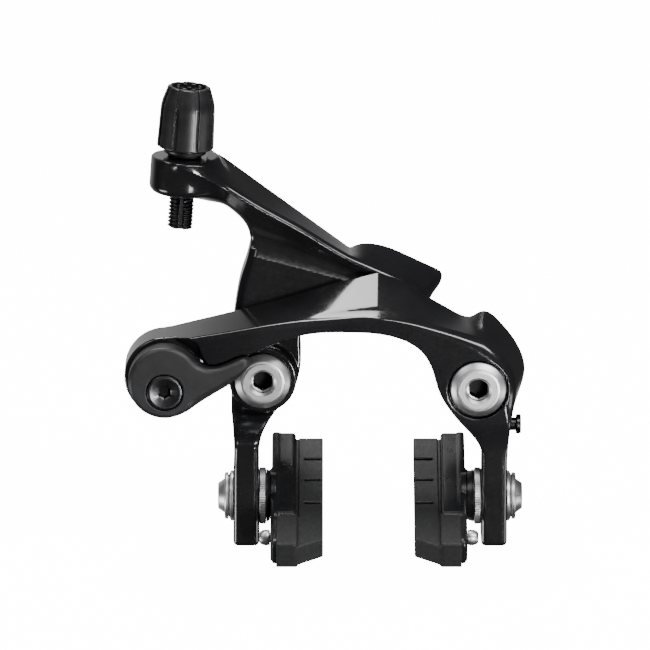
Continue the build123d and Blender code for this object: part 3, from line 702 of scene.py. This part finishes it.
def mount_bolt(name, x, front):
    """Frame bolt: coned head with a raised ring, deep hexagon socket, plain shank and thread."""
    head = front + 2.5
    rows = plain((front + 5.9, 0)) + [(front + 5.7, 2.35, "hex"), (front + 2.4, 2.45, "hex")]
    rows += plain((front + 2.35, 2.86), (front + 0.62, 2.9), (front + 0.12, 3.42), (front, 3.55),
                  (front, 4.9), (front + 0.1, 5.02), (front + 0.3, 5.05), (front + 0.32, 5.5),
                  (front + 0.42, 5.75), (front + 1.45, 7.0), (front + 1.62, 7.2), (front + 1.8, 7.28),
                  (front + 2.35, 7.3), (head, 7.1), (head, SHANK_R), (0.0, SHANK_R))
    rows += thread_rows(0.2, 11.4, 3.0) + plain((11.6, SHANK_R), (12.0, 2.3), (12.0, 0))
    return turned(name, rows, along_y(x, 0))


def serrated_washer(name, place, low, high):
    """Steel washer against the leg, with teeth round its rim."""
    rows = plain((low, 3.05), (low, 6.8)) + [(low + 0.12, 7.15, "rib"), (low + 0.3, 7.4, "rib")]
    rows += [(high - 0.25, 7.4, "rib"), (high - 0.05, 7.15, "rib")]
    rows += plain((high, 6.8), (high, 3.05))
    return turned(name, rows, place, 288, 72, 0.12)


def tube(name, line, radius):
    """Round wire along a line of points, with flat ends."""
    steps = 14
    line = [Vector(p) for p in line]
    points, faces = [], []
    side = Vector((0, 1, 0))
    for k, p in enumerate(line):
        ahead = (line[min(k + 1, len(line) - 1)] - line[max(k - 1, 0)]).normalized()
        side = (side - ahead * side.dot(ahead)).normalized()
        up = ahead.cross(side)
        for j in range(steps):
            a = 2 * math.pi * j / steps
            points.append(tuple(p + radius * (math.cos(a) * side + math.sin(a) * up)))
    for k in range(len(line) - 1):
        for j in range(steps):
            n = (j + 1) % steps
            faces.append((k * steps + j, k * steps + n, (k + 1) * steps + n, (k + 1) * steps + j))
    faces.append(tuple(range(steps))[::-1])
    faces.append(tuple((len(line) - 1) * steps + j for j in range(steps)))
    obj = new_object(name, points, faces)
    obj.data.set_sharp_from_angle(angle=math.radians(60))
    return obj


def return_spring(name, x):
    """Torsion spring in the pocket behind an arm."""
    turns, pitch, mean, start, wire_r = 4.75, 1.35, 6.1, -8.7, 0.55
    steps = 40
    line = []
    for k in range(int(turns * steps) + 1):
        a = 2 * math.pi * k / steps
        line.append((x + mean * math.cos(a), start + pitch * k / steps, -mean * math.sin(a)))
    return tube(name, line, wire_r)


# ---------------------------------------------------------------- materials

class Shader:
    """Node material built step by step round one Principled BSDF."""

    def __init__(self, name, color, metallic=0.0, roughness=0.5, **sockets):
        self.material = bpy.data.materials.new(name)
        self.material.use_nodes = True
        self.tree = self.material.node_tree
        self.bsdf = self.tree.nodes["Principled BSDF"]
        self.set("Base Color", (*color, 1))
        self.set("Metallic", metallic)
        self.set("Roughness", roughness)
        for socket, value in sockets.items():
            self.set(socket.replace("_", " "), value)
        self.coordinates = self.tree.nodes.new("ShaderNodeTexCoord").outputs["Object"]

    def set(self, socket, value):
        """One value all over the surface."""
        self.bsdf.inputs[socket].default_value = value

    def noise(self, scale, detail, rough=0.5):
        """Noise with a scale in features per metre."""
        node = self.tree.nodes.new("ShaderNodeTexNoise")
        node.inputs["Scale"].default_value = scale
        node.inputs["Detail"].default_value = detail
        node.inputs["Roughness"].default_value = rough
        self.tree.links.new(self.coordinates, node.inputs["Vector"])
        return node.outputs["Fac"]

    def spread(self, factor, low, high, start, end):
        """Value that runs from low to high as the factor runs from start to end."""
        node = self.tree.nodes.new("ShaderNodeMapRange")
        node.inputs["From Min"].default_value = start
        node.inputs["From Max"].default_value = end
        node.inputs["To Min"].default_value = low
        node.inputs["To Max"].default_value = high
        self.tree.links.new(factor, node.inputs["Value"])
        return node.outputs["Result"]

    def tint(self, factor, first, second):
        """Base colour that wanders between two colours."""
        node = self.tree.nodes.new("ShaderNodeMix")
        node.data_type = "RGBA"
        blend, _, _, _, _, _, color_a, color_b = node.inputs[:8]
        color_a.default_value = (*first, 1)
        color_b.default_value = (*second, 1)
        self.tree.links.new(self.spread(factor, 0, 1, 0.35, 0.65), blend)
        self.tree.links.new(node.outputs[2], self.bsdf.inputs["Base Color"])

    def roughen(self, factor, low, high):
        """Roughness that wanders between two values."""
        self.tree.links.new(self.spread(factor, low, high, 0.3, 0.7), self.bsdf.inputs["Roughness"])

    def bump(self, factor, distance, strength):
        """Fine relief of a height in metres."""
        node = self.tree.nodes.new("ShaderNodeBump")
        node.inputs["Distance"].default_value = distance
        node.inputs["Strength"].default_value = strength
        self.tree.links.new(factor, node.inputs["Height"])
        self.tree.links.new(node.outputs["Normal"], self.bsdf.inputs["Normal"])


def gloss_black():
    """Glossy black paint on the forged arms."""
    s = Shader("gloss_black", (0.010, 0.010, 0.011), roughness=0.16, Coat_Weight=0.35, Coat_Roughness=0.05)
    s.tint(s.noise(60, 4), (0.008, 0.008, 0.009), (0.014, 0.014, 0.015))
    s.roughen(s.noise(900, 3), 0.13, 0.21)
    s.bump(s.noise(1400, 2), 0.00002, 0.35)
    return s.material


def satin_black():
    """Satin black paint."""
    s = Shader("satin_black", (0.035, 0.035, 0.037), roughness=0.38)
    s.tint(s.noise(140, 4), (0.018, 0.018, 0.019), (0.025, 0.025, 0.027))
    s.roughen(s.noise(2500, 3), 0.33, 0.45)
    s.bump(s.noise(6000, 3), 0.00002, 0.5)
    return s.material


def holder_black():
    """Black coating of the pad holders."""
    s = Shader("holder_black", (0.009, 0.009, 0.010), roughness=0.28)
    s.roughen(s.noise(300, 2), 0.27, 0.31)
    s.tint(s.noise(200, 3), (0.007, 0.007, 0.008), (0.012, 0.012, 0.013))
    s.bump(s.noise(9000, 2), 0.00001, 0.2)
    return s.material


def moulded_black():
    """Moulded black plastic."""
    s = Shader("moulded_black", (0.016, 0.016, 0.017), roughness=0.3)
    s.tint(s.noise(300, 3), (0.013, 0.013, 0.014), (0.021, 0.021, 0.022))
    s.roughen(s.noise(400, 2), 0.28, 0.33)
    s.bump(s.noise(9000, 2), 0.00001, 0.2)
    return s.material


def pad_rubber():
    """Brake pad rubber."""
    s = Shader("pad_rubber", (0.013, 0.013, 0.014), roughness=0.62)
    s.tint(s.noise(900, 4, 0.6), (0.010, 0.010, 0.011), (0.016, 0.016, 0.017))
    s.roughen(s.noise(1500, 4), 0.55, 0.7)
    s.bump(s.noise(4200, 4, 0.6), 0.00003, 0.45)
    return s.material


def soft_rubber():
    """Rubber of the O-ring."""
    s = Shader("soft_rubber", (0.012, 0.012, 0.012), roughness=0.55)
    s.roughen(s.noise(3000, 3), 0.48, 0.65)
    s.bump(s.noise(4000, 3), 0.00003, 0.5)
    return s.material


def metal(name, color, rough_low, rough_high):
    """Machined metal: fine tool marks and a little stain."""
    s = Shader(name, color, metallic=1.0, roughness=rough_low)
    dark = tuple(0.93 * c for c in color)
    s.tint(s.noise(500, 4), dark, color)
    s.roughen(s.noise(2500, 4), rough_low, rough_high)
    s.bump(s.noise(5000, 2), 0.00002, 0.12)
    return s.material


# ---------------------------------------------------------------- stage

def camera():
    """Long lens in front of the caliper, a little above it and aimed at its middle."""
    distance = 2.4
    data = bpy.data.cameras.new("camera")
    data.sensor_width = 36.0
    data.lens = 511.5
    data.clip_end = 10.0
    obj = bpy.data.objects.new("camera", data)
    bpy.context.scene.collection.objects.link(obj)
    lift = math.radians(15.0)
    aim = Vector((-11.76, -20.0, 15.07)) * MM
    obj.location = aim + distance * Vector((0, -math.cos(lift), math.sin(lift)))
    obj.rotation_euler = (aim - obj.location).to_track_quat("-Z", "Y").to_euler()
    bpy.context.scene.camera = obj


def area_light(name, place, turn, size, power):
    """Softbox of a given width and depth that faces down before it is turned by angles in degrees."""
    data = bpy.data.lights.new(name, "AREA")
    data.shape = "RECTANGLE"
    data.size, data.size_y = size
    data.energy = power
    obj = bpy.data.objects.new(name, data)
    bpy.context.scene.collection.objects.link(obj)
    obj.location = place
    obj.rotation_euler = [math.radians(angle) for angle in turn]


def world():
    """White for the camera. For light and reflections, a glow low behind that fades to the right, and a
    faint fill in front."""
    scene_world = bpy.data.worlds.new("studio")
    bpy.context.scene.world = scene_world
    scene_world.use_nodes = True
    tree = scene_world.node_tree
    tree.nodes.clear()
    output = tree.nodes.new("ShaderNodeOutputWorld")
    white = tree.nodes.new("ShaderNodeBackground")
    white.inputs["Strength"].default_value = 16.0
    studio = tree.nodes.new("ShaderNodeBackground")
    place = tree.nodes.new("ShaderNodeTexCoord")
    split = tree.nodes.new("ShaderNodeSeparateXYZ")
    tree.links.new(place.outputs["Generated"], split.inputs["Vector"])

    def level(axis, start, end, low, high):
        """Smooth step from low to high as a direction's axis value runs from start to end."""
        node = tree.nodes.new("ShaderNodeMapRange")
        node.interpolation_type = "SMOOTHSTEP"
        node.inputs["From Min"].default_value = start
        node.inputs["From Max"].default_value = end
        node.inputs["To Min"].default_value = low
        node.inputs["To Max"].default_value = high
        tree.links.new(split.outputs[axis], node.inputs["Value"])
        return node.outputs["Result"]

    def combine(operation, first, second):
        node = tree.nodes.new("ShaderNodeMath")
        node.operation = operation
        tree.links.new(first, node.inputs[0])
        tree.links.new(second, node.inputs[1])
        return node.outputs["Value"]

    glow = combine("MULTIPLY", level("Y", 0.25, 0.8, 0.0, 0.75), level("Z", 0.35, 0.7, 1.0, 0.0))
    glow = combine("MULTIPLY", glow, level("X", 0.1, 0.34, 1.0, 0.04))
    fill = level("Y", -0.85, -0.1, 0.08, 0.02)
    tree.links.new(combine("ADD", glow, fill), studio.inputs["Strength"])
    path = tree.nodes.new("ShaderNodeLightPath")
    blend = tree.nodes.new("ShaderNodeMixShader")
    tree.links.new(path.outputs["Is Camera Ray"], blend.inputs["Fac"])
    tree.links.new(studio.outputs["Background"], blend.inputs[1])
    tree.links.new(white.outputs["Background"], blend.inputs[2])
    tree.links.new(blend.outputs["Shader"], output.inputs["Surface"])


def floor():
    """White floor a little below the feet, which only the camera sees."""
    gap = 3.5 * MM
    bpy.ops.mesh.primitive_plane_add(size=6.0, location=(0, 0, cad_box[0][2] - gap))
    obj = bpy.context.object
    obj.name = "floor"
    white = bpy.data.materials.new("floor")
    white.use_nodes = True
    shader = white.node_tree.nodes["Principled BSDF"]
    shader.inputs["Base Color"].default_value = (0.9, 0.9, 0.9, 1)
    shader.inputs["Roughness"].default_value = 0.9
    shader.inputs["Emission Color"].default_value = (1, 1, 1, 1)
    shader.inputs["Emission Strength"].default_value = 14.5
    obj.data.materials.append(white)
    obj.visible_glossy = False
    obj.visible_diffuse = False
    obj.visible_shadow = False


def lights():
    """Softboxes whose reflections draw the object's highlights."""
    area_light("overhead", (-0.145, 0.24, 0.78), (0, 0, 0), (0.35, 0.5), 8.0)
    area_light("front_top", (0.42, -0.45, 0.6), (37, 0, 0), (0.7, 0.16), 6.0)
    area_light("boss_glow", (-0.45, -0.35, 0.55), (32, 0, -52), (0.3, 0.3), 1.2)
    area_light("knob_glow", (0.28, -0.63, -0.07), (98, 0, 27), (0.14, 0.14), 3.6)
    area_light("low_left", (-0.72, -0.2, -0.3), (0, -75, 15), (0.24, 0.35), 2.8)
    area_light("low_right", (0.72, -0.2, -0.3), (0, 75, -15), (0.24, 0.35), 1.3)


# ---------------------------------------------------------------- assembly

LOOKS = {}
MATERIALS = {
    "gloss_black": gloss_black,
    "satin_black": satin_black,
    "holder_black": holder_black,
    "moulded_black": moulded_black,
    "pad_rubber": pad_rubber,
    "soft_rubber": soft_rubber,
    "bright_steel": lambda: metal("bright_steel", (0.72, 0.72, 0.73), 0.38, 0.43),
    "dark_steel": lambda: metal("dark_steel", (0.1, 0.1, 0.105), 0.3, 0.38),
    "black_steel": lambda: metal("black_steel", (0.05, 0.05, 0.052), 0.24, 0.36),
    # near-black metal on key socket faces: painted shade in the deep recess, not the bolt's own colour
    "socket_painted_shade": lambda: metal("socket_painted_shade", (0.02, 0.02, 0.02), 0.45, 0.6),
    "plain_steel": lambda: metal("plain_steel", (0.5, 0.5, 0.5), 0.28, 0.42),
    "bright_aluminium": lambda: metal("bright_aluminium", (0.78, 0.78, 0.79), 0.24, 0.36),
}


def material(name):
    """Material of that name, made when it is first asked for."""
    if name not in LOOKS:
        LOOKS[name] = MATERIALS[name]()
    return LOOKS[name]


def look(obj, name):
    """Gives a piece its material, and the faces of its key socket a near-black one as painted shade deep in
    the recess.
    """
    obj.data.materials.clear()
    obj.data.materials.append(material(name))
    if obj.get("socket_faces"):
        obj.data.materials.append(material("socket_painted_shade"))
        for polygon in list(obj.data.polygons)[:obj["socket_faces"]]:
            polygon.material_index = 1


LOOK_OF_SLOT = {
    "gloss_black_paint": "gloss_black",
    "satin_black_paint": "satin_black",
    "dark_steel": "dark_steel",
    "plain_steel": "plain_steel",
    "black_steel": "black_steel",
    "bright_steel": "bright_steel",
    "bright_aluminium": "bright_aluminium",
    "black_plastic": "moulded_black",
    "washer_plastic": "moulded_black",
    "holder_black": "holder_black",
    "pad_rubber": "pad_rubber",
    "black_rubber": "soft_rubber",
}
SLOT = {part["node"]: part["material_slot"] for part in frame["record"]["subparts"]}
BODY = {node: name for name, nodes in frame["record"]["behaviour"]["bodies"].items() for node in nodes}


def stand_in(obj, node):
    """The piece takes the place, body, slot and look of a CAD node."""
    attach(obj, BODY[node])
    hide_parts(node)
    look(obj, LOOK_OF_SLOT[SLOT[node]])


def arms():
    """The two forged arms."""
    right = form("right_arm_form", right_arm_shape, (-67, -30.5, -45), (42.5, -0.5, 31), 0.4)
    stand_in(right, "right_arm")
    left = form("left_arm_form", left_arm_shape, (-59, -28.5, -45), (21, -0.5, 61.5), 0.4)
    stand_in(left, "left_arm")


def quick_release():
    """Lever with the cable anchor bolt in its disc."""
    stand_in(form("lever_form", lever_shape, (-64, -33, -8.5), (-30, -25, 13.5), 0.25), "qr_lever")
    front, head = -32.2, -29.5
    rows = [(front + 2.0, 0.0, ""), (front + 1.95, 1.4, "hex"), (front + 0.85, 1.5, "hex")]
    rows += plain((front + 0.6, 1.85), (front + 0.28, 3.2), (front + 0.02, 3.75), (front, 4.0),
                  (front + 0.08, 4.35), (front + 0.3, 4.55), (head, 4.55), (head, 2.5), (-11.0, 2.5))
    rows += thread_rows(-11.0, -8.0, 2.5, 0.8, 0.25) + plain((-7.6, 2.2), (-7.2, 1.9), (-7.2, 0))
    stand_in(turned("anchor_bolt_form", rows, along_y(CAM_X, ANCHOR_Z)), "anchor_bolt")


def adjuster():
    """Knob, hollow threaded bolt, collar and O-ring, all on the adjuster's leaning axis."""
    place = adjuster_frame()
    knob = form("knob_form", knob_shape, (-7.9, -7.9, 2.1), (7.9, 7.9, KNOB_HIGH + 0.5), 0.2, place)
    stand_in(knob, "adjuster_knob")
    low, high = (-3.7, -3.7, THREAD_END - 0.4), (3.7, 3.7, 8.5)
    stand_in(form("adjuster_bolt_form", adjuster_thread_shape, low, high, 0.14, place), "adjuster_bolt")
    collar = plain((1.0, 3.3), (1.0, 5.2), (1.15, 5.5), (1.9, 5.6), (2.05, 5.3), (2.3, 5.3), (2.45, 5.6),
                   (2.85, 5.6), (3.0, 5.4), (3.0, 3.3))
    stand_in(turned("adjuster_collar_form", collar, place), "adjuster_collar")
    ring_height, ring_r, cord_r, steps = 0.55, 4.1, 0.42, 20
    turns = [2 * math.pi * k / steps for k in range(steps)]
    ring = plain(*[(ring_height + cord_r * math.sin(a), ring_r + cord_r * math.cos(a)) for a in turns])
    stand_in(turned("adjuster_o_ring_form", ring, place), "adjuster_o_ring")


def pivots():
    """Frame bolts, return springs and the centring screw."""
    stand_in(mount_bolt("left_mount_bolt_form", -PIVOT_X, LEFT_BOLT_Y), "left_mount_bolt")
    stand_in(mount_bolt("right_mount_bolt_form", PIVOT_X, RIGHT_BOLT_Y), "right_mount_bolt")
    stand_in(return_spring("left_return_spring_form", -PIVOT_X), "left_return_spring")
    stand_in(return_spring("right_return_spring_form", PIVOT_X), "right_return_spring")
    rows = [(38.1, 0.0, ""), (38.1, 0.95, "hex"), (39.15, 1.0, "hex")]
    rows += plain((39.3, 1.3), (39.3, 2.2), (39.1, 2.55), (38.3, 2.6), (37.95, 2.4), (37.9, 1.9),
                  (37.9, 1.7), (31.3, 1.7), (31.0, 1.4), (31.0, 0))
    stand_in(turned("centring_screw_form", rows, along_x(CENTRING_Y, CENTRING_Z)), "centring_screw")


def shoe_bolt_rows(stack):
    """Bolt through the leg and the washers; stack is the thickness of the washers on the rim's side."""
    head = -LEG_T - 4.1
    end = stack + 2.95
    rows = [(head + 3.4, 0.0, ""), (head + 3.3, 1.85, "hex"), (head + 0.35, 2.0, "hex")]
    return rows + plain((head + 0.05, 2.5), (head, 2.7), (head, 3.2), (head + 0.12, 3.4),
                        (head + 1.55, 4.4), (head + 1.7, 4.5), (CUP_X, 4.4), (CUP_X, 3.0), (-LEG_T, 3.0),
                        (end - 0.3, 3.0), (end, 2.7), (end, 0))


def cup_rows():
    """Outer washer under the bolt's head."""
    return plain((CUP_X, 3.1), (CUP_X, 5.5), (CUP_X + 0.1, 5.95), (CUP_X + 0.4, 6.15), (CUP_X + 0.85, 6.15),
                 (DOME_X, 5.9), (DOME_X, 3.1))


def dome_rows():
    """Outer domed washer between the cup and the leg."""
    seat = -LEG_T - 0.05
    return plain((DOME_X, 3.1), (DOME_X, 5.3), (DOME_X + 0.1, 5.6), (DOME_X + 0.55, 6.5),
                 (DOME_X + 0.75, 6.6), (seat - 0.1, 6.6), (seat, 6.4), (seat, 3.1))


def inner_dome_rows(top):
    """Inner domed washer, up to the seat of the pad holder."""
    return plain((1.95, 3.1), (1.95, 6.7), (2.05, 6.9), (2.3, 6.9), (2.4, 6.6), (2.5, 6.75),
                 (top - 0.1, 6.3), (top, 6.0), (top, 3.1))


def pad_screw_rows(back):
    """Screw that keeps the pad in its holder, with its head behind the holder's back."""
    rows = [(back - 1.5, 0.0, ""), (back - 1.5, 0.9, "hex"), (back - 2.75, 1.0, "hex")]
    return rows + plain((back - 2.9, 1.15), (back - 2.75, 1.45), (back - 2.3, 1.8), (back - 1.7, 2.02),
                        (back - 1.0, 2.1), (back - 0.4, 2.02), (back - 0.1, 1.9), (back - 0.1, 1.25),
                        (back + 2.0, 1.25), (back + 2.0, 0))


def shoe(side, stack):
    """Brake shoe of the left (-1) or right (1) side with its bolt and washers."""
    name = "right_" if side > 0 else "left_"
    back = stack + WASHER_GAP
    place = shoe_frame(side)
    turn = place @ Matrix.Rotation(math.radians(90), 4, "Y")
    holder = form(name + "pad_holder_form", holder_shape(back), (back - 0.8, -29, -4.6),
                  (back + 7.2, 25.6, 6.6), 0.28, place)
    stand_in(holder, name + "pad_holder")
    pad = form(name + "brake_pad_form", pad_shape(back), (back + 1.5, -29.6, -4.6),
               (back + 14.6, 24.6, 4.6), 0.28, place)
    stand_in(pad, name + "brake_pad")
    outer = (("shoe_bolt", shoe_bolt_rows(stack)), ("outer_cup_washer", cup_rows()),
             ("outer_domed_washer", dome_rows()))
    for part, rows in outer:
        stand_in(turned(name + part + "_form", rows, turn), name + part)
    washer = serrated_washer(name + "inner_washer_form", turn, 0.05, 1.9)
    stand_in(washer, name + "inner_washer")
    inner_dome = turned(name + "inner_domed_washer_form", inner_dome_rows(stack), turn)
    stand_in(inner_dome, name + "inner_domed_washer")
    screw_place = turn @ Matrix.Translation((0, PAD_SCREW_Y, 0))
    stand_in(turned(name + "pad_screw_form", pad_screw_rows(back), screw_place, 48), name + "pad_screw")


camera()
world()
floor()
lights()
arms()
quick_release()
adjuster()
pivots()
shoe(-1, LEFT_STACK)
shoe(1, RIGHT_STACK)
for node in ("left_pivot_bush", "right_pivot_bush", "left_thrust_washer", "right_thrust_washer", "link_pin",
             "link_roller", "qr_cam_bush", "cable_clamp_plate", "anchor_nut"):
    look(frame["nodes"][node], LOOK_OF_SLOT[SLOT[node]])
